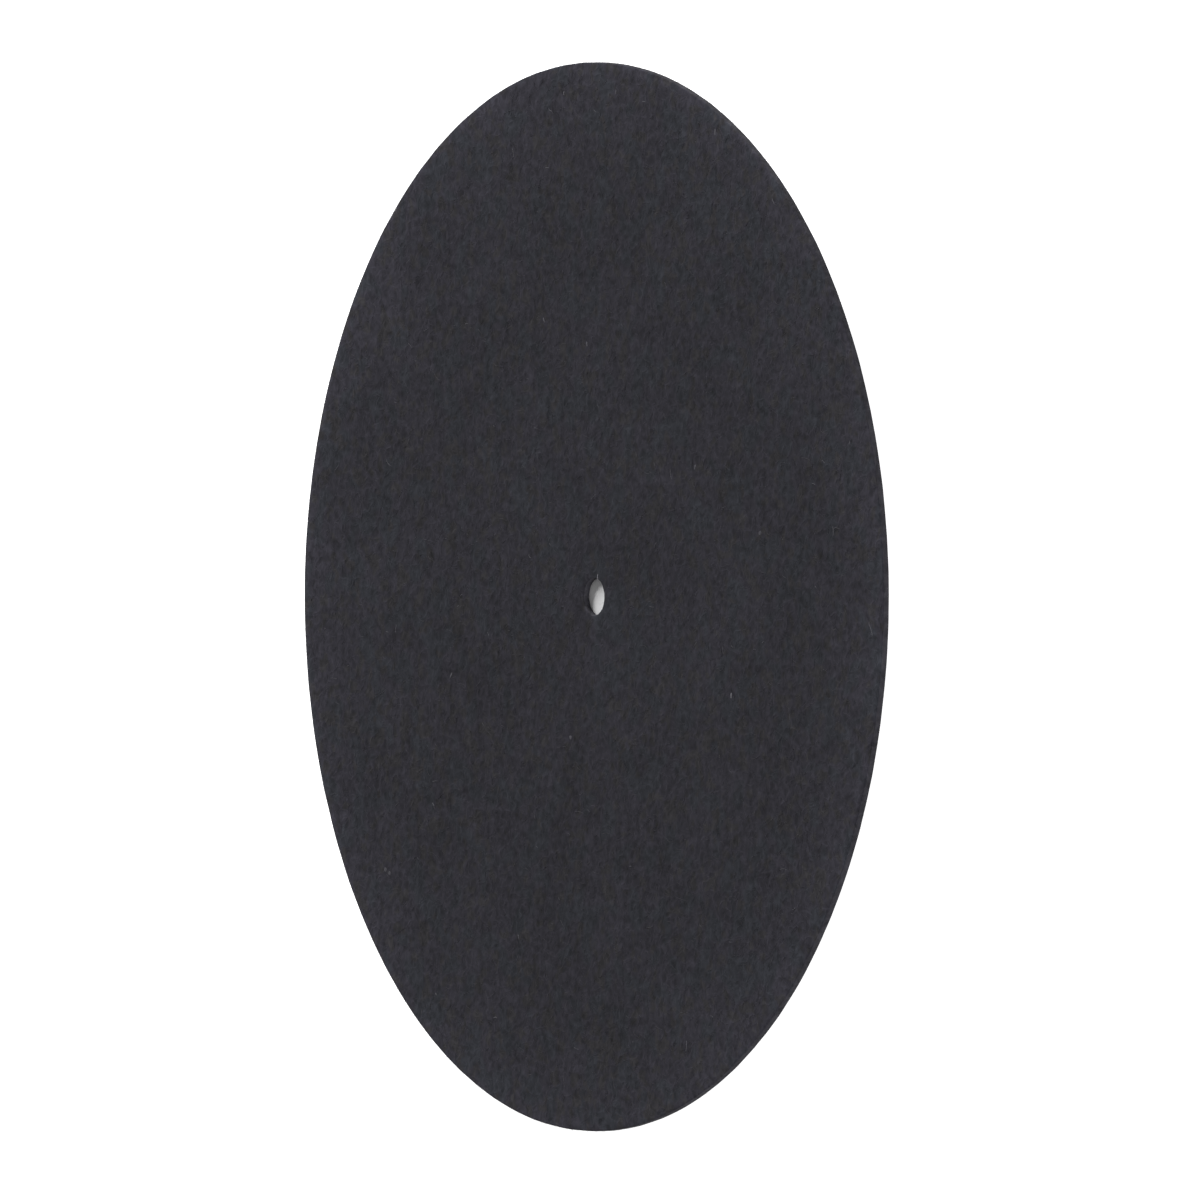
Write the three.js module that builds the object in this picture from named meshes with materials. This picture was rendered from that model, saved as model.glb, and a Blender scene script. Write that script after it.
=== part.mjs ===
// A felt mat for the platter of a record player: one disc, die-cut from a sheet of pressed felt,
// with a hole punched through its middle for the platter's spindle.
// Sizes are in millimetres and +Z is up.
// The origin is on the spindle's axis, in the plane of the face that lies on the platter.
import * as THREE from "three";

// The whole mat
const MAT_DIAMETER = 295; // a little less than a 12 inch record, so that its edge can still be gripped
const MAT_THICKNESS = 2;

// The hole
const SPINDLE_DIAMETER = 7.2;
const SPINDLE_CLEARANCE = 1.5; // all round the spindle

// The cut edges. The die drags the upper face down beside its cut and leaves the lower corner almost sharp.
const DRAG_WIDTH = 3; // how far in from the cut the upper face begins to fall
const DRAG_DEPTH = 0.15; // how far it has fallen at the cut
const UPPER_ROUNDING = 0.4;
const LOWER_ROUNDING = 0.15;

// How finely the curves are drawn
const STEPS_AROUND = 144;
const STEPS_IN_DRAG = 2;
const STEPS_IN_UPPER_ROUNDING = 3;
const STEPS_IN_LOWER_ROUNDING = 1;

const matRadius = MAT_DIAMETER / 2;
const holeRadius = SPINDLE_DIAMETER / 2 + SPINDLE_CLEARANCE;

// A thin mat has no room for the full roundings, so each keeps to its share of the wall.
const upperRounding = Math.min(UPPER_ROUNDING, (MAT_THICKNESS - DRAG_DEPTH) / 2);
const lowerRounding = Math.min(LOWER_ROUNDING, (MAT_THICKNESS - DRAG_DEPTH) / 4);

// A quarter circle about (x, y), from one angle to the other.
function quarter(x, y, radius, from, to, steps) {
  return new THREE.EllipseCurve(x, y, radius, radius, from, to, to < from).getPoints(steps);
}

// The section of one cut edge, from the underside up to where the upper face is flat.
// inwards is the way from the cut into the felt: -1 at the rim and 1 at the hole.
function cutEdge(cutRadius, inwards) {
  const outwards = inwards < 0 ? 0 : Math.PI;
  const lowerCorner = quarter(
    cutRadius + inwards * lowerRounding,
    lowerRounding,
    lowerRounding,
    inwards < 0 ? -Math.PI / 2 : (3 * Math.PI) / 2,
    outwards,
    STEPS_IN_LOWER_ROUNDING,
  );
  const cornerTop = MAT_THICKNESS - DRAG_DEPTH;
  const upperCorner = quarter(
    cutRadius + inwards * upperRounding,
    cornerTop - upperRounding,
    upperRounding,
    outwards,
    Math.PI / 2,
    STEPS_IN_UPPER_ROUNDING,
  );
  const cornerEnd = new THREE.Vector2(cutRadius + inwards * upperRounding, cornerTop);
  const flatStart = new THREE.Vector2(cutRadius + inwards * DRAG_WIDTH, MAT_THICKNESS);
  const levelOut = new THREE.Vector2((cornerEnd.x + flatStart.x) / 2, MAT_THICKNESS);
  const dragged = new THREE.QuadraticBezierCurve(cornerEnd, levelOut, flatStart).getPoints(STEPS_IN_DRAG);
  return [...lowerCorner, ...upperCorner, ...dragged.slice(1)];
}

// The mat is the section between its two cut edges, turned about the spindle's axis.
function feltMat() {
  const section = [...cutEdge(matRadius, -1), ...cutEdge(holeRadius, 1).reverse()];
  const geometry = new THREE.LatheGeometry([...section, section[0]], STEPS_AROUND);
  geometry.rotateX(Math.PI / 2);
  const felt = new THREE.MeshStandardMaterial({ color: 0x323237, roughness: 0.95, metalness: 0 });
  const mesh = new THREE.Mesh(geometry, felt);
  mesh.name = "felt_mat";
  return mesh;
}

const platterMat = new THREE.Group();
platterMat.name = "platter_mat";
platterMat.add(feltMat());

export default platterMat;
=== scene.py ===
"""The looks of a felt mat for a record player's platter.

The mat is one disc of charcoal felt with a hole for the platter's spindle. It lies on a pale floor and
is seen aslant from one side, so that the round disc shows as the tall, narrow oval of the photograph.
Lengths are in metres, and MM turns a size given in millimetres into metres.
"""
import math

import bpy
import numpy as np
from bpy.props import FloatProperty, FloatVectorProperty, IntProperty, PointerProperty
from mathutils import Matrix, Vector


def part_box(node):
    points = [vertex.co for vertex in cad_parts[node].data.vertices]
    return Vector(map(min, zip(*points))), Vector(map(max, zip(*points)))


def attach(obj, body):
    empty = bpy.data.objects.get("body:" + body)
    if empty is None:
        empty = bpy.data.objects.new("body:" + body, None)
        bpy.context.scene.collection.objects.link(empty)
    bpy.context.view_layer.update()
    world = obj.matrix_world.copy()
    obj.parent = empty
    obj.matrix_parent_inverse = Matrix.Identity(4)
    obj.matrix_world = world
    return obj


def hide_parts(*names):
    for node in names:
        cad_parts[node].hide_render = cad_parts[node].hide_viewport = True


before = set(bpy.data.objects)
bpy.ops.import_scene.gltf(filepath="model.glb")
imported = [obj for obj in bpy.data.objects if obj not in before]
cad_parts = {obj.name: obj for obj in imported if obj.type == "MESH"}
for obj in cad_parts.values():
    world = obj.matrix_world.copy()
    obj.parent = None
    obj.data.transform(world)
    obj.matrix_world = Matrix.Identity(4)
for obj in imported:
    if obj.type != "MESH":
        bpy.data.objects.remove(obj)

bl_info = {
    "name": "Platter Mat",
    "version": (1, 0, 0),
    "blender": (4, 5, 0),
    "location": "3D View > Sidebar > Platter Mat",
    "description": "Makes the felt, the loose fibres and the stage of a record player's platter mat",
    "category": "Add Mesh",
}

MM = 0.001
TAU = 2 * math.pi

# What the frame says of the mat
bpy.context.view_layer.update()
MAT_NODE = "felt_mat"
MAT_LOW, MAT_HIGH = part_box(MAT_NODE)
MAT_RADIUS = (MAT_HIGH.x - MAT_LOW.x) / 2
THICKNESS = MAT_HIGH.z - MAT_LOW.z


def nearest_to_axis(node):
    """How far a node's nearest vertex is from the Z axis, which is the radius of its hole."""
    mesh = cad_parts[node].data
    places = np.empty(3 * len(mesh.vertices), np.float32)
    mesh.vertices.foreach_get("co", places)
    return float(np.hypot(places[0::3], places[1::3]).min())


HOLE_RADIUS = nearest_to_axis(MAT_NODE)

# The cut edges, as the solid has them
DRAG_WIDTH = 3 * MM
DRAG_DEPTH = 0.15 * MM
UPPER_ROUNDING = 0.4 * MM
LOWER_ROUNDING = 0.15 * MM

# Where the mat's outline lies in the photograph, in its pixels
FRAME_PX = 1200
OUTLINE_LEFT_PX = 304.6
OUTLINE_RIGHT_PX = 888.9
OUTLINE_TOP_PX = 62.2
OUTLINE_BOTTOM_PX = 1131.3
PX_PER_METRE = (OUTLINE_BOTTOM_PX - OUTLINE_TOP_PX) / (2 * MAT_RADIUS)


def oval_width(tilt):
    """How wide the mat looks when seen tilt radians off its axis, and where the middle of that width is.

    The far end is the upper rounding's reach along the view's left, and the near end is the lower
    rounding's reach along its right. Each is the rounding's centre plus its radius.
    """
    flat, upright = math.cos(tilt), math.sin(tilt)
    upper_centre = THICKNESS - DRAG_DEPTH - UPPER_ROUNDING
    far = (MAT_RADIUS - UPPER_ROUNDING) * flat + upper_centre * upright + UPPER_ROUNDING
    near = (MAT_RADIUS - LOWER_ROUNDING) * flat - LOWER_ROUNDING * upright + LOWER_ROUNDING
    return far + near, (near - far) / 2


TILT_HALVINGS = 50  # until the range is as narrow as rounding allows


def tilt_for(width):
    """The tilt at which the oval has that width, found by halving the range that holds it."""
    low, high = 0.0, math.pi / 2
    for _ in range(TILT_HALVINGS):
        middle = (low + high) / 2
        if oval_width(middle)[0] > width:
            low = middle
        else:
            high = middle
    return (low + high) / 2


TILT = tilt_for((OUTLINE_RIGHT_PX - OUTLINE_LEFT_PX) / PX_PER_METRE)
VIEW_BACK = Vector((math.sin(TILT), 0, math.cos(TILT)))
VIEW_RIGHT = Vector((math.cos(TILT), 0, -math.sin(TILT)))
VIEW_UP = Vector((0, 1, 0))
# How far the middle of the frame is from the mat's origin, along the view's right and up
OUTLINE_OFF_X = ((OUTLINE_LEFT_PX + OUTLINE_RIGHT_PX) / 2 - FRAME_PX / 2) / PX_PER_METRE
OUTLINE_OFF_Y = (FRAME_PX / 2 - (OUTLINE_TOP_PX + OUTLINE_BOTTOM_PX) / 2) / PX_PER_METRE
VIEW_ACROSS = oval_width(TILT)[1] - OUTLINE_OFF_X
VIEW_ALONG = -OUTLINE_OFF_Y


def on_upper_face(x_px, y_px):
    """The place on the mat's upper face that shows at a pixel of the photograph."""
    across = (x_px - FRAME_PX / 2) / PX_PER_METRE + VIEW_ACROSS
    along = (FRAME_PX / 2 - y_px) / PX_PER_METRE + VIEW_ALONG
    return (across + THICKNESS * math.sin(TILT)) / math.cos(TILT), along


# Shapes as arrays


def smooth_step(low, high, x):
    """0 below low, 1 above high, and an even S between them."""
    t = np.clip((x - low) / (high - low), 0, 1)
    return t * t * (3 - 2 * t)


def arc(x, y, radius, start, end, steps):
    """Points round (x, y) from angle to angle: the centre plus radius times the cosine and sine."""
    angle = np.linspace(start, end, steps + 1)
    return np.stack([x + radius * np.cos(angle), y + radius * np.sin(angle)], axis=1)


def line(start, end, steps):
    """Evenly spaced points from start to end, both counted."""
    share = np.linspace(0, 1, steps + 1)[:, None]
    return (1 - share) * np.array(start) + share * np.array(end)


def grid_faces(rows, columns):
    """The quads of a grid of points that closes on itself both ways, as rows of four point numbers."""
    row, column = np.meshgrid(np.arange(rows), np.arange(columns), indexing="ij")
    next_row = (row + 1) % rows
    next_column = (column + 1) % columns
    corners = (
        row * columns + column,
        row * columns + next_column,
        next_row * columns + next_column,
        next_row * columns + column,
    )
    return np.stack(corners, axis=-1).reshape(-1, 4)


def mesh_piece(name, points, faces, corner_uv, material, tone=None, smooth=True):
    """A piece from its points, arrays of faces with equal corner counts, and a map place for each corner.

    tone is a number for each point, which the material reads.
    """
    mesh = bpy.data.meshes.new(name)
    mesh.vertices.add(len(points))
    mesh.vertices.foreach_set("co", np.ascontiguousarray(points, np.float32).ravel())
    corners = np.concatenate([f.ravel() for f in faces]).astype(np.int32)
    counts = np.concatenate([np.full(len(f), f.shape[1]) for f in faces])
    mesh.loops.add(len(corners))
    mesh.loops.foreach_set("vertex_index", corners)
    mesh.polygons.add(len(counts))
    mesh.polygons.foreach_set("loop_start", (np.cumsum(counts) - counts).astype(np.int32))
    mesh.polygons.foreach_set("use_smooth", np.full(len(counts), smooth))
    mesh.update(calc_edges=True)
    layer = mesh.uv_layers.new(name="OFBake")
    layer.data.foreach_set("uv", np.ascontiguousarray(corner_uv, np.float32).ravel())
    if tone is not None:
        kept = mesh.attributes.new("tone", "FLOAT", "POINT")
        kept.data.foreach_set("value", np.ascontiguousarray(tone, np.float32).ravel())
    mesh.materials.append(material)
    piece = bpy.data.objects.new(name, mesh)
    bpy.context.scene.collection.objects.link(piece)
    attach(piece, "root")
    return piece


# Shader sums


class Value:
    """One output of a node, with the arithmetic that a material's sums are written in."""

    def __init__(self, recipe, socket):
        self.recipe = recipe
        self.socket = socket

    def maths(self, operation, *terms):
        """The result of one operation on the terms."""
        return self.recipe.node("Math", {"operation": operation}, dict(enumerate(terms)))

    def __add__(self, other):
        return self.maths("ADD", self, other)

    def __sub__(self, other):
        return self.maths("SUBTRACT", self, other)

    def __rsub__(self, other):
        return self.maths("SUBTRACT", other, self)

    def __mul__(self, other):
        return self.maths("MULTIPLY", self, other)

    def __pow__(self, other):
        return self.maths("POWER", self, other)

    def __abs__(self):
        return self.maths("ABSOLUTE", self)

    __radd__ = __add__
    __rmul__ = __mul__

    def step(self, low, high):
        """0 at low, 1 at high, and an even S between them."""
        settings = {"interpolation_type": "SMOOTHSTEP"}
        return self.recipe.node("MapRange", settings, {"Value": self, "From Min": low, "From Max": high})


# The places of a Mix node's colour sockets, which share their names with its other sockets
MIX_FACTOR, MIX_FIRST, MIX_SECOND = 0, 6, 7
MIX_COLOUR = 2


class Recipe:
    """The nodes of a material or a world while they are being written."""

    def __init__(self, owner):
        owner.use_nodes = True
        self.tree = owner.node_tree
        self.tree.nodes.clear()

    def node(self, kind, settings=None, sockets=None, output=0):
        """One output of a new node, whose settings come first and then its sockets' values or links."""
        made = self.tree.nodes.new("ShaderNode" + kind)
        for name, value in (settings or {}).items():
            setattr(made, name, value)
        for name, value in (sockets or {}).items():
            if isinstance(value, Value):
                self.tree.links.new(value.socket, made.inputs[name])
            else:
                made.inputs[name].default_value = value
        return Value(self, made.outputs[output]) if made.outputs else None

    def mix(self, factor, first, second):
        """Two colours, from the first at factor 0 to the second at factor 1."""
        sockets = {MIX_FACTOR: factor, MIX_FIRST: first, MIX_SECOND: second}
        return self.node("Mix", {"data_type": "RGBA"}, sockets, output=MIX_COLOUR)

    def scaled(self, vector, amount):
        """A colour or place times a value."""
        return self.node("VectorMath", {"operation": "SCALE"}, {0: vector, "Scale": amount})

    def shifted(self, vector, other):
        """A place plus another."""
        return self.node("VectorMath", {"operation": "ADD"}, {0: vector, 1: other})

    def noise(self, places, scale, detail=0.0, output=0):
        """Noise from about 0 to 1, with about scale bumps to each unit of its places."""
        sockets = {"Vector": places, "Scale": scale, "Detail": detail}
        return self.node("TexNoise", {"noise_dimensions": "3D"}, sockets, output)

    def millimetres(self):
        """The place on the piece, in millimetres from the mat's origin."""
        return self.scaled(self.node("TexCoord", output=3), 1 / MM)


# The sizes and colours that can be changed


class FeltSettings(bpy.types.PropertyGroup):
    """The felt itself."""

    colour: FloatVectorProperty(
        name="Felt colour",
        description="The charcoal of the felt's upper face",
        subtype="COLOR",
        size=3,
        min=0,
        max=1,
        default=(0.0302, 0.0286, 0.0375),
    )
    cool_colour: FloatVectorProperty(
        name="Cool tint",
        description="The greener charcoal of some of the tufts",
        subtype="COLOR",
        size=3,
        min=0,
        max=1,
        default=(0.0282, 0.0297, 0.0371),
    )
    warm_colour: FloatVectorProperty(
        name="Warm tint",
        description="The charcoal of other tufts, with less blue in it",
        subtype="COLOR",
        size=3,
        min=0,
        max=1,
        default=(0.0307, 0.0292, 0.0327),
    )
    cut_colour: FloatVectorProperty(
        name="Cut fibres",
        description="The felt's colour on its cut edges, where the ends of its fibres show",
        subtype="COLOR",
        size=3,
        min=0,
        max=1,
        default=(0.0314, 0.0303, 0.0359),
    )
    relief_height: FloatProperty(
        name="Relief",
        description="How far the upper face rises and falls over a few centimetres",
        unit="LENGTH",
        default=0.02 * MM,
    )
    rim_wander: FloatProperty(
        name="Rim wander",
        description="How far the cut edge wanders in and out",
        unit="LENGTH",
        default=0.03 * MM,
    )
    # Painted light: the felt is painted paler towards the rim, by this share of its colour
    rim_painted_light: FloatProperty(
        name="Rim paling",
        description="How much paler the nap has grown at the rim, as a share of the felt's colour",
        subtype="FACTOR",
        min=0,
        max=1,
        default=0.36,
    )
    strand_bump: FloatProperty(
        name="Strand height",
        description="How far the surface can rise from between the matted strands to the top of them",
        unit="LENGTH",
        default=0.16 * MM,
    )


class FibreSettings(bpy.types.PropertyGroup):
    """The loose fibres on the felt."""

    nap_count: IntProperty(
        name="Nap fibres",
        description="How many loose dark fibres lie on the upper face, in each of its layers",
        min=0,
        default=4400,
    )
    nap_length: FloatProperty(
        name="Nap length",
        description="The usual length of a loose dark fibre",
        unit="LENGTH",
        default=4.5 * MM,
    )
    pale_count: IntProperty(
        name="Pale fibres",
        description="How many paler fibres are scattered on the upper face",
        min=0,
        default=420,
    )
    fuzz_count: IntProperty(
        name="Rim fuzz",
        description="How many short fibres stand out of the rim's cut edge",
        min=0,
        default=3600,
    )
    hole_fuzz_count: IntProperty(
        name="Hole fuzz",
        description="How many short fibres stand out of the hole's cut edge",
        min=0,
        default=150,
    )
    thickness: FloatProperty(
        name="Fibre thickness",
        description="How thick a loose fibre is",
        unit="LENGTH",
        default=0.055 * MM,
    )
    dark_colour: FloatVectorProperty(
        name="Dark fibres",
        description="The colour of the darkest loose fibres",
        subtype="COLOR",
        size=3,
        min=0,
        max=1,
        default=(0.028, 0.027, 0.034),
    )
    pale_colour: FloatVectorProperty(
        name="Pale fibres' colour",
        description="The colour of the palest stray fibres",
        subtype="COLOR",
        size=3,
        min=0,
        max=1,
        default=(0.40, 0.39, 0.43),
    )


class StageSettings(bpy.types.PropertyGroup):
    """The floor and the lights."""

    floor_colour: FloatVectorProperty(
        name="Floor colour",
        description="The pale floor, as the lights alone show it",
        subtype="COLOR",
        size=3,
        min=0,
        max=1,
        default=(0.97, 0.97, 0.975),
    )
    floor_glow: FloatProperty(
        name="Floor glow",
        description="How brightly the floor glows where the mat doesn't cover it",
        min=0,
        default=1.0,
    )
    key_power: FloatProperty(
        name="Key light",
        description="The power of the wide key light, beyond the picture's upper left",
        unit="POWER",
        min=0,
        default=316,
    )
    fill_power: FloatProperty(
        name="Fill light",
        description="The power of the low fill light on the near side, which shows the cut edges",
        unit="POWER",
        min=0,
        default=77,
    )
    sky_strength: FloatProperty(
        name="Sky",
        description="How brightly the white sky lights the mat",
        min=0,
        default=0.17,
    )


# The felt's form

RELIEF_SHORTEST = 8 * MM
RELIEF_LONGEST = 45 * MM
RELIEF_WAVE_COUNT = 48
RELIEF_SEED = 11
RELIEF_FADE = 2 * DRAG_WIDTH  # how far in from a cut the relief reaches its full height


def relief_waves():
    """Flat waves with random headings, lengths and starts.

    They are given as their wave numbers along X, their wave numbers along Y, and their phases.
    """
    rng = np.random.default_rng(RELIEF_SEED)
    heading = rng.uniform(0, TAU, RELIEF_WAVE_COUNT)
    length = np.exp(rng.uniform(math.log(RELIEF_SHORTEST), math.log(RELIEF_LONGEST), RELIEF_WAVE_COUNT))
    phase = rng.uniform(0, TAU, RELIEF_WAVE_COUNT)
    return TAU / length * np.cos(heading), TAU / length * np.sin(heading), phase


def upper_height(x, y, relief_height):
    """The height of the upper face at places on the mat.

    It is the thickness, less a parabola beside each cut where the die dragged the felt down, plus the sum
    of the relief's waves over the root of their count, which fades out towards the cuts.
    """
    radius = np.hypot(x, y)
    cut = np.minimum(MAT_RADIUS - radius, radius - HOLE_RADIUS)
    drag = np.clip((DRAG_WIDTH - cut) / (DRAG_WIDTH - UPPER_ROUNDING), 0, 1)
    swell = np.zeros(np.shape(x))
    for along_x, along_y, phase in zip(*relief_waves()):
        swell += np.cos(along_x * x + along_y * y + phase)
    swell *= relief_height / math.sqrt(RELIEF_WAVE_COUNT)
    return THICKNESS - DRAG_DEPTH * drag**2 + swell * smooth_step(0, RELIEF_FADE, cut)


# How many rings the felt's section has in each stretch, and how many points each ring has
RING_POINTS = 720
UNDERSIDE_RINGS = 12
CORNER_RINGS = 2
WALL_RINGS = 3
ROUNDING_RINGS = 4
DRAG_RINGS = 5
UPPER_RINGS = 84


def cut_wall(cut_radius, inwards):
    """The rings of one cut edge, from the underside up over the upper rounding, as radius and height.

    inwards is the way from the cut into the felt: -1 at the rim and 1 at the hole.
    """
    out = 0 if inwards < 0 else math.pi
    down = -math.pi / 2 if inwards < 0 else 3 * math.pi / 2
    shoulder = THICKNESS - DRAG_DEPTH - UPPER_ROUNDING
    lower_centre = cut_radius + inwards * LOWER_ROUNDING
    upper_centre = cut_radius + inwards * UPPER_ROUNDING
    corner = arc(lower_centre, LOWER_ROUNDING, LOWER_ROUNDING, down, out, CORNER_RINGS)
    wall = line((cut_radius, LOWER_ROUNDING), (cut_radius, shoulder), WALL_RINGS)
    rounding = arc(upper_centre, shoulder, UPPER_ROUNDING, out, math.pi / 2, ROUNDING_RINGS)
    return np.concatenate([corner, wall[1:], rounding[1:]])


def felt_section():
    """The mat's closed section as rings of radius and height, and the ring at which each stretch starts.

    It runs outwards along the underside, up the rim's cut, inwards along the upper face and down the
    hole's cut.
    """
    underside = line((HOLE_RADIUS + LOWER_ROUNDING, 0), (MAT_RADIUS - LOWER_ROUNDING, 0), UNDERSIDE_RINGS)
    rim = cut_wall(MAT_RADIUS, -1)
    hole = cut_wall(HOLE_RADIUS, 1)[::-1]
    rim_top, hole_top = MAT_RADIUS - UPPER_ROUNDING, HOLE_RADIUS + UPPER_ROUNDING
    rim_flat, hole_flat = MAT_RADIUS - DRAG_WIDTH, HOLE_RADIUS + DRAG_WIDTH
    rim_drag = line((rim_top, THICKNESS), (rim_flat, THICKNESS), DRAG_RINGS)
    flat = line((rim_flat, THICKNESS), (hole_flat, THICKNESS), UPPER_RINGS)
    hole_drag = line((hole_flat, THICKNESS), (hole_top, THICKNESS), DRAG_RINGS)
    upper = np.concatenate([rim_drag[1:], flat[1:], hole_drag[1:-1]])
    stretches = [underside[:-1], rim, upper, hole[:-1]]
    starts = np.cumsum([0] + [len(s) for s in stretches])
    return np.concatenate(stretches), starts


# The slowest and quickest waves of each cut, in turns to the round, and how far in they reach
RIM_TURNS = (9, 130)
RIM_SEED = 31
RIM_WANDER_REACH = 3 * DRAG_WIDTH
HOLE_TURNS = (2, 14)
HOLE_SEED = 32
HOLE_WANDER_REACH = DRAG_WIDTH


def wander(angle, span, seed):
    """A closed wave round the mat, about 1 high.

    It is the sum of cosines of whole turns with random phases, and the quicker ones are lower.
    """
    rng = np.random.default_rng(seed)
    turns = np.arange(*span)
    height = 1 / np.sqrt(turns)
    phase = rng.uniform(0, TAU, len(turns))
    sums = (height * np.cos(turns * angle[:, None] + phase)).sum(axis=1)
    return sums / math.sqrt((height**2).sum() / 2)


# Where each stretch of the felt lies on its map: its faces as discs, and its cuts as bands above them
MAP_UPPER_RADIUS = 0.340
MAP_UNDER_RADIUS = 0.215
MAP_MARGIN = 0.004
MAP_FACES_TOP = 0.965
RIM_BAND = (0.985, 0.997)
HOLE_BAND = (0.970, 0.981)
HOLE_BAND_SPAN = (0.01, 0.21)


def felt_map(points, rows, starts):
    """The place on the map of each corner of the felt's quads, by the stretch that the quad is in."""
    columns = RING_POINTS
    row, column = np.meshgrid(np.arange(rows), np.arange(columns), indexing="ij")
    corner_row = np.stack([row, row, row + 1, row + 1], axis=-1)
    corner_column = np.stack([column, column + 1, column + 1, column], axis=-1)
    place = points.reshape(rows, columns, 3)[corner_row % rows, corner_column % columns]
    turn = corner_column / columns
    under_rim, over_rim, over_hole = starts[1], starts[2] - 1, starts[3]

    def disc(radius, centre, mirror):
        """One face scaled to a radius on the map, and turned over where mirror is -1."""
        scale = radius / MAT_RADIUS
        return np.stack([centre + mirror * scale * place[..., 0], centre + scale * place[..., 1]], axis=-1)

    def band(span, height, first, last):
        """One cut unrolled: once round the mat along the span, and up the height from ring to ring."""
        up = (corner_row - first) / (last - first)
        across = span[0] + (span[1] - span[0]) * turn
        return np.stack([across, height[0] + (height[1] - height[0]) * up], axis=-1)

    upper = disc(MAP_UPPER_RADIUS, MAP_MARGIN + MAP_UPPER_RADIUS, 1)
    under = disc(MAP_UNDER_RADIUS, MAP_FACES_TOP - MAP_MARGIN - MAP_UNDER_RADIUS, -1)
    rim = band((MAP_MARGIN, 1 - MAP_MARGIN), RIM_BAND, under_rim, over_rim)
    hole = band(HOLE_BAND_SPAN, HOLE_BAND, over_hole, rows)
    place_on_map = np.where((row < under_rim)[..., None, None], under, upper)
    place_on_map = np.where(((row >= under_rim) & (row < over_rim))[..., None, None], rim, place_on_map)
    return np.where((row >= over_hole)[..., None, None], hole, place_on_map).reshape(-1, 2)


def felt_points(section, starts, settings):
    """The felt's grid of points: its section turned about the Z axis.

    Close to the two cuts each ring's radius wanders, and the upper face's rings take that face's height.
    """
    angle = TAU * np.arange(RING_POINTS) / RING_POINTS
    radius = np.repeat(section[:, :1], RING_POINTS, axis=1)
    height = np.repeat(section[:, 1:], RING_POINTS, axis=1)
    by_rim = smooth_step(MAT_RADIUS - RIM_WANDER_REACH, MAT_RADIUS, radius)
    by_hole = 1 - smooth_step(HOLE_RADIUS, HOLE_RADIUS + HOLE_WANDER_REACH, radius)
    radius = radius + settings.rim_wander * by_rim * wander(angle, RIM_TURNS, RIM_SEED)
    radius = radius + settings.rim_wander * by_hole * wander(angle, HOLE_TURNS, HOLE_SEED)
    x, y = radius * np.cos(angle), radius * np.sin(angle)
    upper = slice(starts[2], starts[3])
    height[upper] = upper_height(x[upper], y[upper], settings.relief_height)
    return np.stack([x, y, height], axis=-1).reshape(-1, 3)


# The felt's finish

# The middle value of every noise
NOISE_MIDDLE = 0.5

# One line for each direction in which the matted strands are drawn: heading, length and width in
# millimetres, and how far along the noise it is taken from
STRAND_LAYERS = (
    (0.30, 4.4, 2.2, 0),
    (1.15, 4.0, 2.0, 40),
    (1.85, 5.0, 2.4, 80),
    (2.60, 4.2, 2.1, 120),
)
STRAND_EDGE = 0.12  # how far from the middle value a streak's edge is


def matted_strands(recipe, places):
    """0 between the felt's strands and up to 1 on them: the mean of a few layers of curling streaks.

    A streak lies where noise, drawn out along one heading, passes through its middle value.
    """
    total = 0.0
    for heading, length, width, start in STRAND_LAYERS:
        sockets = {
            "Vector": places,
            "Location": (start, start, 0),
            "Rotation": (0, 0, heading),
            "Scale": (length, width, width),
        }
        drawn_out = recipe.node("Mapping", {"vector_type": "TEXTURE"}, sockets)
        total = abs(recipe.noise(drawn_out, 1.0) - NOISE_MIDDLE).step(STRAND_EDGE, 0.0) + total
    return total * (1 / len(STRAND_LAYERS))


CURL_SIZE = 4.0  # millimetres over which the strands curl
CURL_REACH = 2.4  # millimetres by which the curls carry a strand aside

# How many bumps each noise has in a millimetre
GRAIN_PER_MM = 0.42
BLOTCH_PER_MM = 0.16
CLOUD_PER_MM = 0.022
COOL_PER_MM = 0.12
WARM_PER_MM = 0.24

# How much each changes the felt's brightness, and about what value the strands have on the whole
GRAIN_SHARE = 1.02
STRAND_SHARE = 0.50
BLOTCH_SHARE = 0.54
CLOUD_SHARE = 0.36
STRAND_MEAN = 0.35

# Between which values of their noises the cooler and the warmer tufts set in
COOL_SPAN = (0.50, 0.62)
WARM_SPAN = (0.46, 0.34)

# How much of the bump is strands, and how much is grain
STRAND_BUMP_SHARE = 0.6
GRAIN_BUMP_SHARE = 0.4

# The cut edges and the felt beside them
CUT_REACH = 2.0  # millimetres in from a cut
HOLE_CUT_SPAN = (0.985, 0.80)  # where the hole's cut sets in and is whole, as shares of the thickness
# Painted light on the hole's cut wall, which stands in the key light's shade
HOLE_WALL_PAINTED_LIGHT = 1.0  # how much brighter the hole's cut is
# Painted light on the drag slope beside the rim, lifting the shade where that slope turns away from the
# key light
DRAG_PAINTED_LIGHT = 0.15  # how much brighter the felt is where the die dragged it down at the rim
DRAG_PAINTED_LIGHT_SPAN = (1.4, 0.2)  # where that sets in and is whole, in drag widths in from the rim
# The power below sets how steeply the painted light rises towards the rim
RIM_LIGHT_POWER = 9.0  # of the distance from the middle, as a share of the radius


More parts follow.
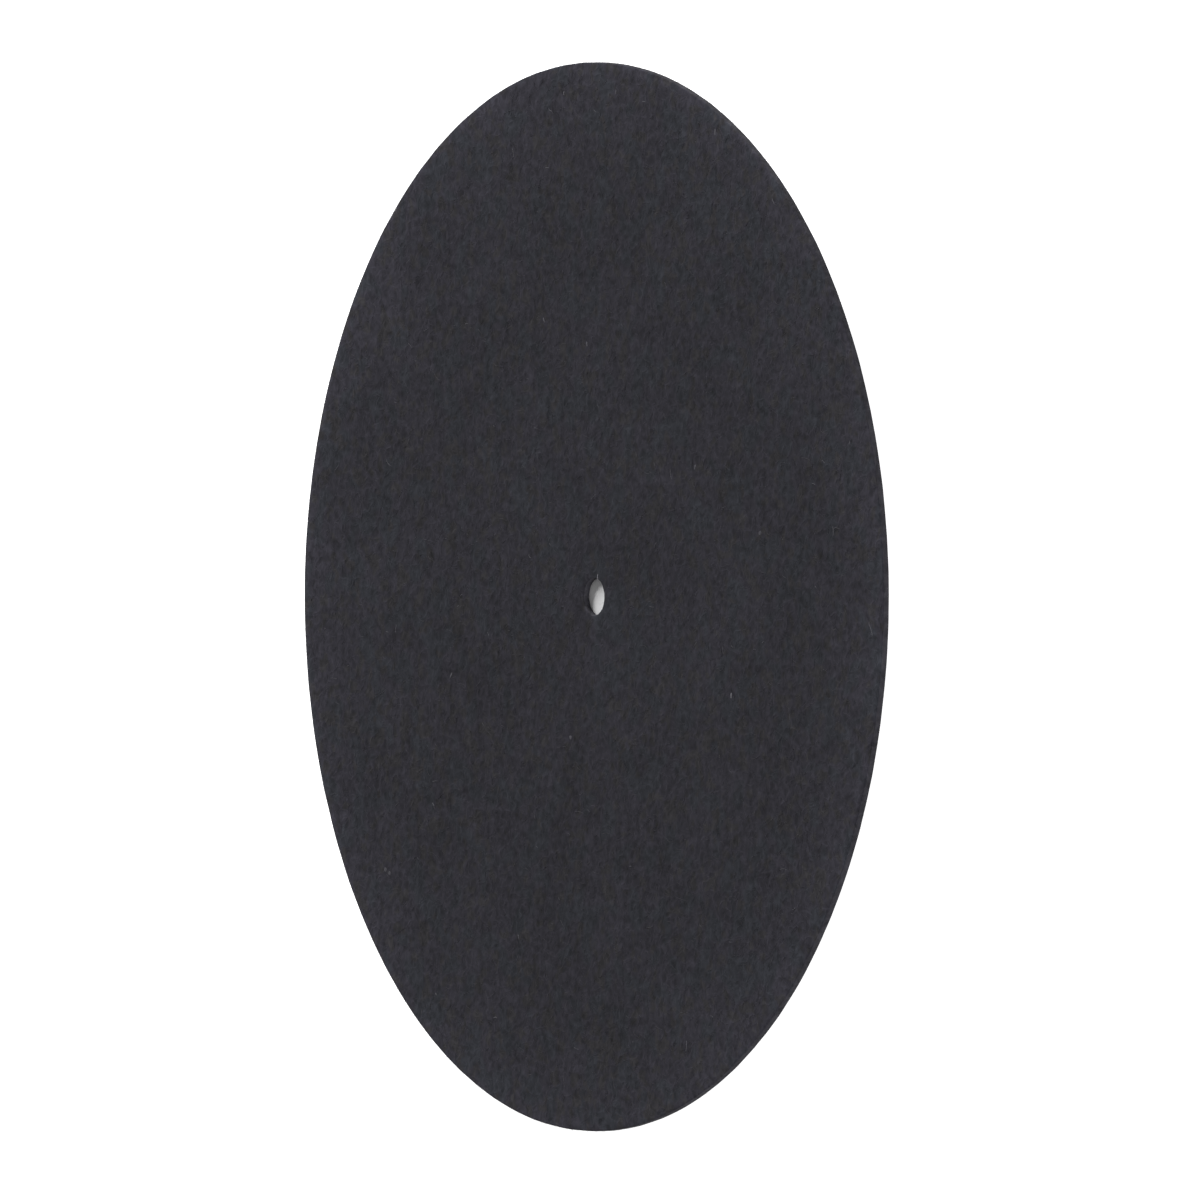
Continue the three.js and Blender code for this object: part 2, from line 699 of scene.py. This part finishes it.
def felt_material(settings):
    """Charcoal felt: strands matted in all directions over a fine grain, with slow clouds over both.

    Some tufts are cooler and some are warmer. The felt is painted paler towards the rim, which is painted
    light, and on the slope where the die dragged it down at the rim, which is painted light against that
    slope's shade. The hole's cut wall is painted brighter, as painted light on its shade, and the cut
    edges have a colour of their own.
    """
    material = bpy.data.materials.new("charcoal_felt")
    recipe = Recipe(material)
    places = recipe.millimetres()
    curl = recipe.noise(places, 1 / CURL_SIZE, detail=1.0, output=1)
    aside = recipe.scaled(recipe.shifted(curl, (-NOISE_MIDDLE,) * 3), 2 * CURL_REACH)
    strands = matted_strands(recipe, recipe.shifted(places, aside))
    grain = recipe.noise(places, GRAIN_PER_MM, detail=1.0)
    blotches = recipe.noise(places, BLOTCH_PER_MM, detail=2.0)
    clouds = recipe.noise(places, CLOUD_PER_MM, detail=1.0)

    height = recipe.node("SeparateXYZ", None, {"Vector": places}, output=2)
    flat = recipe.node("VectorMath", {"operation": "MULTIPLY"}, {0: places, 1: (1, 1, 0)})
    radius = recipe.node("VectorMath", {"operation": "LENGTH"}, {0: flat}, output=1)
    rim_mm, hole_mm, top_mm = MAT_RADIUS / MM, HOLE_RADIUS / MM, THICKNESS / MM
    drag_mm, corner_mm = DRAG_WIDTH / MM, (THICKNESS - DRAG_DEPTH) / MM
    # Painted light, rising steeply to its whole at the rim
    painted_rim_light = (radius * (1 / rim_mm)) ** RIM_LIGHT_POWER
    # Where the drag slope at the rim is painted lighter
    dragged = radius.step(*(rim_mm - share * drag_mm for share in DRAG_PAINTED_LIGHT_SPAN))
    under_corner = height.step(corner_mm, corner_mm - UPPER_ROUNDING / MM)
    under_face = height.step(*(share * top_mm for share in HOLE_CUT_SPAN))
    rim_cut = radius.step(rim_mm - CUT_REACH, rim_mm) * under_corner
    hole_cut = radius.step(hole_mm + CUT_REACH, hole_mm) * under_face
    on_cut = rim_cut + hole_cut
    # Painted light: paler towards the rim, and paler on the rim's drag slope to lift its shade; neither
    # falls on the cuts
    painted_light = settings.rim_painted_light * painted_rim_light + DRAG_PAINTED_LIGHT * dragged

    tone = 1.0 + GRAIN_SHARE * (grain - NOISE_MIDDLE) + STRAND_SHARE * (strands - STRAND_MEAN)
    tone = tone + BLOTCH_SHARE * (blotches - NOISE_MIDDLE) + CLOUD_SHARE * (clouds - NOISE_MIDDLE)
    # The hole's cut wall is painted brighter here, as painted light on its shade
    tone = tone * (1.0 + painted_light * (1.0 - on_cut) + HOLE_WALL_PAINTED_LIGHT * hole_cut)
    cooler = recipe.noise(places, COOL_PER_MM, detail=1.0).step(*COOL_SPAN)
    warmer = recipe.noise(places, WARM_PER_MM, detail=1.0).step(*WARM_SPAN)
    colour = recipe.mix(cooler, (*settings.colour, 1), (*settings.cool_colour, 1))
    colour = recipe.mix(warmer, colour, (*settings.warm_colour, 1))
    colour = recipe.mix(on_cut, colour, (*settings.cut_colour, 1))

    bump_height = STRAND_BUMP_SHARE * strands + GRAIN_BUMP_SHARE * grain
    bump = {"Height": bump_height, "Distance": settings.strand_bump, "Strength": 1.0}
    shader = recipe.node(
        "BsdfPrincipled",
        None,
        {
            "Base Color": recipe.scaled(colour, tone),
            "Roughness": 0.95,
            "Specular IOR Level": 0.03,
            "Sheen Weight": 0.03,
            "Sheen Roughness": 0.6,
            "Normal": recipe.node("Bump", None, bump),
        },
    )
    recipe.node("OutputMaterial", None, {"Surface": shader})
    return material


FLECKS_PER_MM = 2.0
FLECK_LOW = 0.7  # a fibre's brightness where its flecks are darkest, as a share of its colour
FLECK_SPREAD = 0.6


def fibre_material(settings):
    """Loose fibres, each from the darkest to the palest colour by its own tone.

    They are a little glossier than the felt under them.
    """
    material = bpy.data.materials.new("loose_fibre")
    recipe = Recipe(material)
    tone = recipe.node("Attribute", {"attribute_name": "tone"}, output=2)
    flecks = recipe.noise(recipe.millimetres(), FLECKS_PER_MM, detail=1.0)
    colour = recipe.mix(tone, (*settings.dark_colour, 1), (*settings.pale_colour, 1))
    shader = recipe.node(
        "BsdfPrincipled",
        None,
        {
            "Base Color": recipe.scaled(colour, FLECK_LOW + FLECK_SPREAD * flecks),
            "Roughness": 0.8,
            "Specular IOR Level": 0.1,
        },
    )
    recipe.node("OutputMaterial", None, {"Surface": shader})
    return material


# Loose fibres

FIBRE_STEPS = 7
FIBRE_SIDES = 3
FIBRE_SINK = 0.08 * MM  # how deep a lying fibre's ends dip into the felt
TIP_TAPER = 0.45  # how thick a tip is, as a share of the fibre's middle
FIBRE_FLATNESS = 0.5
PRESSED_HEIGHT = 0.02 * MM  # half the height of a thick fibre or knot, flattened by the press


def curled_lines(x, y, heading, length, bend, sway, rng):
    """Lines on the flat about the places x, y, one row each.

    A line's heading turns evenly by its bend and sways by a sine of one whole turn. Its points are the
    running sum of equal steps along that heading, moved so that their mean is at its place.
    """
    share = (np.arange(FIBRE_STEPS) + 0.5) / FIBRE_STEPS
    start = rng.uniform(0, TAU, len(x))[:, None]
    turned = heading[:, None] + bend[:, None] * (share - 0.5) + sway[:, None] * np.sin(TAU * share + start)
    step = (length / FIBRE_STEPS)[:, None]
    along = np.cumsum(np.pad(step * np.cos(turned), ((0, 0), (1, 0))), axis=1)
    across = np.cumsum(np.pad(step * np.sin(turned), ((0, 0), (1, 0))), axis=1)
    centre_x = x[:, None] - along.mean(axis=1, keepdims=True)
    centre_y = y[:, None] - across.mean(axis=1, keepdims=True)
    return centre_x + along, centre_y + across


def half_height(radius):
    """Half the height of fibres: a share of the radius, but no more than the pressed height."""
    return np.minimum(FIBRE_FLATNESS * radius, PRESSED_HEIGHT)


def fibre_tubes(x, y, z, radius):
    """Closed three-sided tubes along lines of points, one row a fibre.

    A ring is the line's point plus a triangle across the line, with one corner up: its corners' cosines
    times the radius and their sines times the half height, both less near the tips.
    """
    paths = np.stack([x, y, z], axis=-1)
    ahead = np.gradient(paths, axis=1)
    ahead /= np.linalg.norm(ahead, axis=-1, keepdims=True)
    across = np.cross(ahead, (0.0, 0.0, 1.0))
    across /= np.linalg.norm(across, axis=-1, keepdims=True)
    over = np.cross(across, ahead)
    share = np.linspace(0, 1, paths.shape[1])
    taper = TIP_TAPER + (1 - TIP_TAPER) * np.sqrt(np.sin(math.pi * share).clip(0))
    wide = (radius[:, None] * taper)[:, :, None, None]
    high = (half_height(radius)[:, None] * taper)[:, :, None, None]
    turn = TAU * (np.arange(FIBRE_SIDES)[:, None] / FIBRE_SIDES + 0.25)
    ring = wide * across[:, :, None] * np.cos(turn) + high * over[:, :, None] * np.sin(turn)
    return (paths[:, :, None] + ring).reshape(-1, 3)


def fibre_faces(count):
    """The quads of the fibres' sides and the triangles that close their ends, as rows of points."""
    fibre = np.arange(count)[:, None, None] * (FIBRE_STEPS + 1) * FIBRE_SIDES
    here = np.arange(FIBRE_STEPS)[:, None] * FIBRE_SIDES
    side = np.arange(FIBRE_SIDES)
    next_side = (side + 1) % FIBRE_SIDES
    corners = (here + side, here + FIBRE_SIDES + side, here + FIBRE_SIDES + next_side, here + next_side)
    sides = np.stack([fibre + c for c in corners], axis=-1).reshape(-1, 4)
    last = FIBRE_STEPS * FIBRE_SIDES
    ends = np.array([[0, 1, 2], [last, last + 2, last + 1]])
    return sides, (fibre + ends).reshape(-1, 3)


# Where a fibre lies in its own square of the map: its sides as three bands, its ends as small triangles
SIDES_SPAN = (0.08, 0.80)
BANDS_SPAN = (0.08, 0.92)
END_CORNERS = ((0.86, 0.10), (0.94, 0.10), (0.90, 0.40))
END_RISE = 0.5


def fibre_map(count):
    """The map place of each corner of each fibre's faces: each fibre has a square of its own."""
    squares = math.ceil(math.sqrt(max(count, 1)))
    corner = np.stack([np.arange(count) % squares, np.arange(count) // squares], axis=-1)
    step, side = np.meshgrid(np.arange(FIBRE_STEPS), np.arange(FIBRE_SIDES), indexing="ij")
    steps = np.stack([step, step + 1, step + 1, step], axis=-1) / FIBRE_STEPS
    bands = np.stack([side, side, side + 1, side + 1], axis=-1) / FIBRE_SIDES
    along = SIDES_SPAN[0] + (SIDES_SPAN[1] - SIDES_SPAN[0]) * steps
    up = BANDS_SPAN[0] + (BANDS_SPAN[1] - BANDS_SPAN[0]) * bands
    sides = np.stack([along, up], axis=-1).reshape(-1, 2)
    first_end = np.array(END_CORNERS)
    ends = np.concatenate([first_end, first_end + (0, END_RISE)])
    placed = [((corner[:, None] + part) / squares).reshape(-1, 2) for part in (sides, ends)]
    return np.concatenate(placed)


def fibre_piece(name, x, y, z, radius, tone, material, smooth=True):
    """A piece made of loose fibres, one row of the arrays for each."""
    count = len(radius)
    points = fibre_tubes(x, y, z, radius)
    tones = np.repeat(tone, (FIBRE_STEPS + 1) * FIBRE_SIDES)
    return mesh_piece(name, points, fibre_faces(count), fibre_map(count), material, tones, smooth)


def lying_height(x, y, radius, arch, lift, relief_height):
    """The height of fibres on the upper face.

    A fibre's ends dip into the felt, its middle rises by its arch, and its last end rises by its lift.
    """
    share = np.linspace(0, 1, x.shape[1])
    bow = np.sin(math.pi * share)
    rise = (half_height(radius) + FIBRE_SINK + arch)[:, None] * bow + lift[:, None] * share**3
    return upper_height(x, y, relief_height) - FIBRE_SINK + rise


def inside_cuts(x, y, margin):
    """Which lines keep to the felt, clear of both cuts."""
    radius = np.hypot(x, y)
    return ((radius < MAT_RADIUS - margin) & (radius > HOLE_RADIUS + margin)).all(axis=1)


def scattered(count, rng):
    """Places spread evenly over the felt: the radius is the root of an even spread of squares."""
    radius = np.sqrt(rng.uniform(HOLE_RADIUS**2, MAT_RADIUS**2, count))
    angle = rng.uniform(0, TAU, count)
    return radius * np.cos(angle), radius * np.sin(angle)


def about(rng, middle, spread, count):
    """Sizes about a middle one, and never negative: the middle times e to a normal number."""
    return middle * np.exp(rng.normal(0, spread, count))


NAP_LAYERS = ("nap_under_layer", "nap_over_layer")
NAP_SEED = 21
NAP_MARGIN = 0.3 * MM
NAP_SHORTEST = MM
NAP_LONGEST = 3  # times the usual length
NAP_LENGTH_SPREAD = 0.35
NAP_THICKNESS_SPREAD = 0.25
NAP_BEND = 1.1
NAP_SWAY = 0.5
NAP_ARCH = 0.015 * MM
NAP_ARCH_SPREAD = 0.6
NAP_LIFT = 0.10 * MM
NAP_LIFT_SPREAD = 0.5
NAP_FREE_SHARE = 0.12  # the share of nap fibres with an end that stands free
NAP_TONE = (0.01, 0.15)


def nap(name, layer, felt, fibres, material):
    """A layer of loose dark fibres that lie every way on the upper face, a few with one end free."""
    rng = np.random.default_rng(NAP_SEED + layer)
    count = fibres.nap_count
    x, y = scattered(count, rng)
    heading = rng.uniform(0, TAU, count)
    length = about(rng, fibres.nap_length, NAP_LENGTH_SPREAD, count)
    length = length.clip(NAP_SHORTEST, NAP_LONGEST * fibres.nap_length)
    bend = rng.normal(0, NAP_BEND, count)
    sway = rng.normal(0, NAP_SWAY, count)
    x, y = curled_lines(x, y, heading, length, bend, sway, rng)
    kept = inside_cuts(x, y, NAP_MARGIN)
    x, y = x[kept], y[kept]
    count = len(x)
    radius = about(rng, fibres.thickness / 2, NAP_THICKNESS_SPREAD, count)
    free = rng.uniform(0, 1, count) < NAP_FREE_SHARE
    lift = about(rng, NAP_LIFT, NAP_LIFT_SPREAD, count) * free
    arch = about(rng, NAP_ARCH, NAP_ARCH_SPREAD, count)
    z = lying_height(x, y, radius, arch, lift, felt.relief_height)
    tone = rng.uniform(*NAP_TONE, count)
    return fibre_piece(name, x, y, z, radius, tone, material)


# The paler fibres and knots that show one by one in the photograph: where each is in its pixels, which
# way it lies on the mat in degrees from the picture's right, its length and thickness in millimetres,
# and its tone
SEEN_FIBRES = (
    ("right of the lower middle", 731, 695.5, 86, 2.5, 0.75, 0.33),
    ("under the hole", 570.5, 737.5, -10, 1.8, 1.15, 0.18),
    ("low on the left", 385.5, 869.5, -30, 2.0, 1.20, 0.15),
    ("beside it", 389.5, 873, -25, 2.0, 1.20, 0.15),
    ("left of the hole", 451, 675, 52, 3.0, 0.65, 0.18),
    ("above the hole", 587, 344, -80, 2.3, 0.75, 0.20),
    ("right of the hole", 760, 533, 10, 2.0, 1.15, 0.14),
    ("upper right of the hole", 695, 467, 75, 2.1, 0.60, 0.24),
    ("near the top", 564, 93, 84, 1.9, 0.34, 0.40),
    ("right of the top", 616, 92, 80, 1.8, 0.45, 0.20),
    ("on the upper right", 715, 132, 86, 3.0, 0.85, 0.19),
    ("further down there", 773, 201, -52, 2.8, 0.45, 0.19),
    ("above the hole's left", 544, 320, -60, 2.2, 0.62, 0.19),
    ("low in the middle", 518.5, 937, -75, 2.0, 0.50, 0.18),
    ("low on the left side", 436, 994, -30, 1.6, 0.50, 0.17),
    ("at the hole's far end", 597.3, 577, 86, 2.6, 0.34, 0.70),
)
SEEN_BEND = 0.35  # how much of the others' bend and sway they have
PALE_SEED = 41
PALE_THICKNESS = 0.10 * MM
PALE_THICKNESS_SPREAD = 0.45
PALE_LENGTH = 2.4 * MM
PALE_LENGTH_SPREAD = 0.4
PALE_BEND = 0.6
PALE_SWAY = 0.25
PALE_TONE = (0.08, 0.34)
PALE_ARCH = 0.03 * MM
PALE_ARCH_SPREAD = 0.4
PALE_MARGIN = 0.5 * MM


def pale_fibres(name, felt, fibres, material):
    """The stray pale fibres on the upper face.

    They are those seen in the photograph, and fainter ones scattered among them.
    """
    rng = np.random.default_rng(PALE_SEED)
    seen = np.array([entry[1:] for entry in SEEN_FIBRES], float)
    seen_x, seen_y = on_upper_face(seen[:, 0], seen[:, 1])
    count = fibres.pale_count
    x, y = scattered(count, rng)
    x, y = np.concatenate([seen_x, x]), np.concatenate([seen_y, y])
    heading = np.concatenate([np.radians(seen[:, 2]), rng.uniform(0, TAU, count)])
    length = np.concatenate([seen[:, 3] * MM, about(rng, PALE_LENGTH, PALE_LENGTH_SPREAD, count)])
    faint_tone = PALE_TONE[0] + (PALE_TONE[1] - PALE_TONE[0]) * rng.uniform(0, 1, count) ** 2
    tone = np.concatenate([seen[:, 5], faint_tone])
    faint_thickness = about(rng, PALE_THICKNESS, PALE_THICKNESS_SPREAD, count)
    thickness = np.concatenate([seen[:, 4] * MM, faint_thickness])
    looseness = np.where(np.arange(len(x)) < len(seen), SEEN_BEND, 1)
    bend = rng.normal(0, PALE_BEND, len(x)) * looseness
    sway = rng.normal(0, PALE_SWAY, len(x)) * looseness
    x, y = curled_lines(x, y, heading, length, bend, sway, rng)
    kept = inside_cuts(x, y, PALE_MARGIN)
    kept[: len(seen)] = True
    x, y, tone, radius = x[kept], y[kept], tone[kept], thickness[kept] / 2
    arch = about(rng, PALE_ARCH, PALE_ARCH_SPREAD, len(x))
    z = lying_height(x, y, radius, arch, np.zeros(len(x)), felt.relief_height)
    return fibre_piece(name, x, y, z, radius, tone, material, smooth=False)


FUZZ_SEED = 51
HOLE_FUZZ_SEED = 52
FUZZ_LENGTH = 0.45 * MM
FUZZ_LENGTH_SPREAD = 0.45
FUZZ_SHORTEST = 0.1 * MM
FUZZ_LONGEST = 3 * FUZZ_LENGTH
FUZZ_RADIUS = 0.4  # as a share of the other fibres' thickness
FUZZ_RADIUS_SPREAD = 0.2
FUZZ_ROOT = 0.12 * MM  # how far inside the cut a fibre starts
FUZZ_CLEAR = 0.06 * MM  # above the floor and under the upper face
FUZZ_LEAN = 0.9  # radians either way in plan
FUZZ_LEAN_MOST = 1.4
FUZZ_BEND = 0.9
FUZZ_SWAY = 0.3
FUZZ_SLOPE = 0.25
FUZZ_TONE = (0.0, 0.16)


def cut_fuzz(name, cut_radius, outwards, count, seed, fibres, material):
    """Short fibres that stand out of a cut edge, rooted just inside it at any height.

    outwards is the way out of the felt: 1 at the rim and -1 at the hole.
    """
    rng = np.random.default_rng(seed)
    angle = rng.uniform(0, TAU, count)
    length = about(rng, FUZZ_LENGTH, FUZZ_LENGTH_SPREAD, count).clip(FUZZ_SHORTEST, FUZZ_LONGEST)
    lean = rng.normal(0, FUZZ_LEAN, count).clip(-FUZZ_LEAN_MOST, FUZZ_LEAN_MOST)
    heading = angle + lean + (0 if outwards > 0 else math.pi)
    bend = rng.normal(0, FUZZ_BEND, count)
    sway = rng.normal(0, FUZZ_SWAY, count)
    x, y = curled_lines(np.zeros(count), np.zeros(count), heading, length, bend, sway, rng)
    root = cut_radius - outwards * FUZZ_ROOT
    x = x - x[:, :1] + (root * np.cos(angle))[:, None]
    y = y - y[:, :1] + (root * np.sin(angle))[:, None]
    low, high = 2 * FUZZ_CLEAR, THICKNESS - DRAG_DEPTH - FUZZ_CLEAR
    start = rng.uniform(low, high, count)[:, None]
    share = np.linspace(0, 1, FIBRE_STEPS + 1)
    rise = (rng.normal(0, FUZZ_SLOPE, count) * length)[:, None] * share
    z = np.clip(start + rise, FUZZ_CLEAR, None)
    radius = about(rng, FUZZ_RADIUS * fibres.thickness, FUZZ_RADIUS_SPREAD, count)
    return fibre_piece(name, x, y, z, radius, rng.uniform(*FUZZ_TONE, count), material)


# The stage

FLOOR_REACH = 6.0  # from the mat's middle to each side of the floor
GLOW_STARTS = 0.97  # shares of the mat's radius, so that the change is under the mat
GLOW_FULL = 0.995
SEEN_SKY = 1.1  # how bright the sky is to the camera
KEY_DISTANCE = 4.0
KEY_SIZE = (3.0, 1.8)  # across and up
KEY_TURN = math.radians(126)  # in plan, from +X
KEY_HEIGHT = math.radians(19.5)
KEY_AIM = (2.7, 2.5, 0)  # past the mat, which evens its light from left to right
FILL_DISTANCE = 4.0
FILL_SIZE = (0.9, 0.9)
FILL_TURN = math.radians(-22)
FILL_HEIGHT = math.radians(7.5)
FILL_AIM = (0, 0, 0)
CAMERA_DISTANCE = 3.0
CAMERA_CLIP = (0.01, 100)  # the nearest and farthest that the camera sees


def floor_material(settings):
    """A plain pale floor that glows, but for the round that the mat covers."""
    material = bpy.data.materials.new("pale_floor")
    recipe = Recipe(material)
    places = recipe.node("TexCoord", output=3)
    radius = recipe.node("VectorMath", {"operation": "LENGTH"}, {0: places}, output=1)
    outside = radius.step(GLOW_STARTS * MAT_RADIUS, GLOW_FULL * MAT_RADIUS)
    glow = recipe.mix(outside, (0, 0, 0, 1), (1, 1, 1, 1))
    shader = recipe.node(
        "BsdfPrincipled",
        None,
        {
            "Base Color": (*settings.floor_colour, 1),
            "Roughness": 1.0,
            "Specular IOR Level": 0.0,
            "Emission Color": recipe.scaled(glow, settings.floor_glow),
            "Emission Strength": 1.0,
        },
    )
    recipe.node("OutputMaterial", None, {"Surface": shader})
    return material


def make_floor(settings):
    """A square floor at the height of the mat's underside."""
    corners = FLOOR_REACH * np.array([(-1, -1, 0), (1, -1, 0), (1, 1, 0), (-1, 1, 0)])
    mesh = bpy.data.meshes.new("floor")
    mesh.from_pydata(corners.tolist(), [], [(0, 1, 2, 3)])
    mesh.materials.append(floor_material(settings))
    floor = bpy.data.objects.new("floor", mesh)
    bpy.context.scene.collection.objects.link(floor)


def make_sky(settings):
    """An even white sky that the camera sees as white, and that lights the mat more gently."""
    world = bpy.data.worlds.new("sky")
    bpy.context.scene.world = world
    recipe = Recipe(world)
    seen = recipe.node("LightPath")
    strength = settings.sky_strength + (SEEN_SKY - settings.sky_strength) * seen
    background = recipe.node("Background", None, {"Color": (1, 1, 1, 1), "Strength": strength})
    recipe.node("OutputWorld", None, {"Surface": background})


def aim(thing, place, target):
    """Puts a light or camera at a place, facing a target."""
    thing.location = place
    thing.rotation_euler = (Vector(target) - Vector(place)).to_track_quat("-Z", "Y").to_euler()


def make_light(name, power, size, distance, turn, height, target):
    """An oval soft light that faces its target.

    Seen from the mat's middle, turn is its direction in plan from +X, and height its angle of rise.
    """
    light = bpy.data.lights.new(name, "AREA")
    light.shape = "ELLIPSE"
    light.size, light.size_y = size
    light.energy = power
    lamp = bpy.data.objects.new(name, light)
    bpy.context.scene.collection.objects.link(lamp)
    flat = distance * math.cos(height)
    aim(lamp, (flat * math.cos(turn), flat * math.sin(turn), distance * math.sin(height)), target)


def make_camera():
    """A camera without perspective, placed so that the mat's outline falls on the photograph's."""
    data = bpy.data.cameras.new("camera")
    data.type = "ORTHO"
    data.ortho_scale = FRAME_PX / PX_PER_METRE
    data.clip_start, data.clip_end = CAMERA_CLIP
    camera = bpy.data.objects.new("camera", data)
    bpy.context.scene.collection.objects.link(camera)
    middle = VIEW_ACROSS * VIEW_RIGHT + VIEW_ALONG * VIEW_UP
    turn = Matrix((VIEW_RIGHT, VIEW_UP, VIEW_BACK)).transposed().to_4x4()
    camera.matrix_world = Matrix.Translation(middle + CAMERA_DISTANCE * VIEW_BACK) @ turn
    bpy.context.scene.camera = camera


# The operators


class PLATTERMAT_OT_stage(bpy.types.Operator):
    """Makes the floor, the sky, the lights and the camera"""

    bl_idname = "platter_mat.stage"
    bl_label = "Make the Stage"

    def execute(self, context):
        settings = context.scene.platter_mat_stage
        make_floor(settings)
        make_sky(settings)
        make_light("key", settings.key_power, KEY_SIZE, KEY_DISTANCE, KEY_TURN, KEY_HEIGHT, KEY_AIM)
        make_light("fill", settings.fill_power, FILL_SIZE, FILL_DISTANCE, FILL_TURN, FILL_HEIGHT, FILL_AIM)
        make_camera()
        context.scene.view_settings.view_transform = "Standard"
        return {"FINISHED"}


class PLATTERMAT_OT_fibres(bpy.types.Operator):
    """Makes the loose fibres of the upper face and of the two cut edges"""

    bl_idname = "platter_mat.fibres"
    bl_label = "Make the Loose Fibres"

    def execute(self, context):
        felt = context.scene.platter_mat_felt
        fibres = context.scene.platter_mat_fibres
        material = fibre_material(fibres)
        for layer, name in enumerate(NAP_LAYERS):
            nap(name, layer, felt, fibres, material)
        pale_fibres("pale_fibres", felt, fibres, material)
        cut_fuzz("rim_fuzz", MAT_RADIUS, 1, fibres.fuzz_count, FUZZ_SEED, fibres, material)
        cut_fuzz("hole_fuzz", HOLE_RADIUS, -1, fibres.hole_fuzz_count, HOLE_FUZZ_SEED, fibres, material)
        return {"FINISHED"}


class PLATTERMAT_OT_felt(bpy.types.Operator):
    """Makes the disc of felt, after its loose fibres"""

    bl_idname = "platter_mat.felt"
    bl_label = "Make the Felt"

    def execute(self, context):
        settings = context.scene.platter_mat_felt
        section, starts = felt_section()
        points = felt_points(section, starts, settings)
        faces = grid_faces(len(section), RING_POINTS)
        corner_map = felt_map(points, len(section), starts)
        felt = mesh_piece("felt_disc", points, [faces], corner_map, felt_material(settings))
        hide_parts(MAT_NODE)
        return {"FINISHED"}


class PLATTERMAT_PT_sidebar(bpy.types.Panel):
    """The platter mat's sizes, colours and pieces"""

    bl_label = "Platter Mat"
    bl_idname = "PLATTERMAT_PT_sidebar"
    bl_space_type = "VIEW_3D"
    bl_region_type = "UI"
    bl_category = "Platter Mat"

    def draw(self, context):
        scene = context.scene
        for operator, settings in (
            (PLATTERMAT_OT_stage, scene.platter_mat_stage),
            (PLATTERMAT_OT_fibres, scene.platter_mat_fibres),
            (PLATTERMAT_OT_felt, scene.platter_mat_felt),
        ):
            box = self.layout.box()
            for name in settings.bl_rna.properties.keys():
                if name not in ("rna_type", "name"):
                    box.prop(settings, name)
            box.operator(operator.bl_idname)


CLASSES = (
    FeltSettings,
    FibreSettings,
    StageSettings,
    PLATTERMAT_OT_stage,
    PLATTERMAT_OT_fibres,
    PLATTERMAT_OT_felt,
    PLATTERMAT_PT_sidebar,
)


def register():
    for item in CLASSES:
        bpy.utils.register_class(item)
    bpy.types.Scene.platter_mat_felt = PointerProperty(type=FeltSettings)
    bpy.types.Scene.platter_mat_fibres = PointerProperty(type=FibreSettings)
    bpy.types.Scene.platter_mat_stage = PointerProperty(type=StageSettings)


def unregister():
    del bpy.types.Scene.platter_mat_stage
    del bpy.types.Scene.platter_mat_fibres
    del bpy.types.Scene.platter_mat_felt
    for item in reversed(CLASSES):
        bpy.utils.unregister_class(item)


def main():
    register()
    bpy.ops.platter_mat.stage()
    bpy.ops.platter_mat.fibres()
    bpy.ops.platter_mat.felt()


if __name__ == "__main__":
    main()
